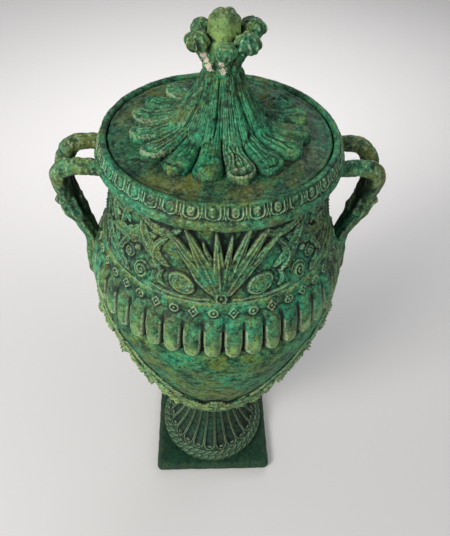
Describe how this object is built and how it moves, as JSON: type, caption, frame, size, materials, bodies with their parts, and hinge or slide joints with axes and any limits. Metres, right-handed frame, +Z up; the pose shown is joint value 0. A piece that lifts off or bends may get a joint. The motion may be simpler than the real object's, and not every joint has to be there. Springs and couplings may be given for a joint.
{
  "type": "lidded garden urn",
  "caption": "Tall amphora urn with branch-shaped side handles, in green-patinated cast stone: gadrooned shoulder, egg-moulded lip, fluted foot, square plinth and lift-off leafy lid.",
  "frame": {"origin": "centre of the plinth's underside", "axes": "+Z up along the urn's axis, +X towards one handle, -Y towards the front palmette"},
  "size_m": [0.4086, 0.3354, 0.826],
  "materials": {
    "vase_stone": "satin",
    "lid_stone": "satin"
  },
  "bodies": {
    "root": {"vase": "vase_stone", "lid": "lid_stone"}
  },
  "joints": []
}
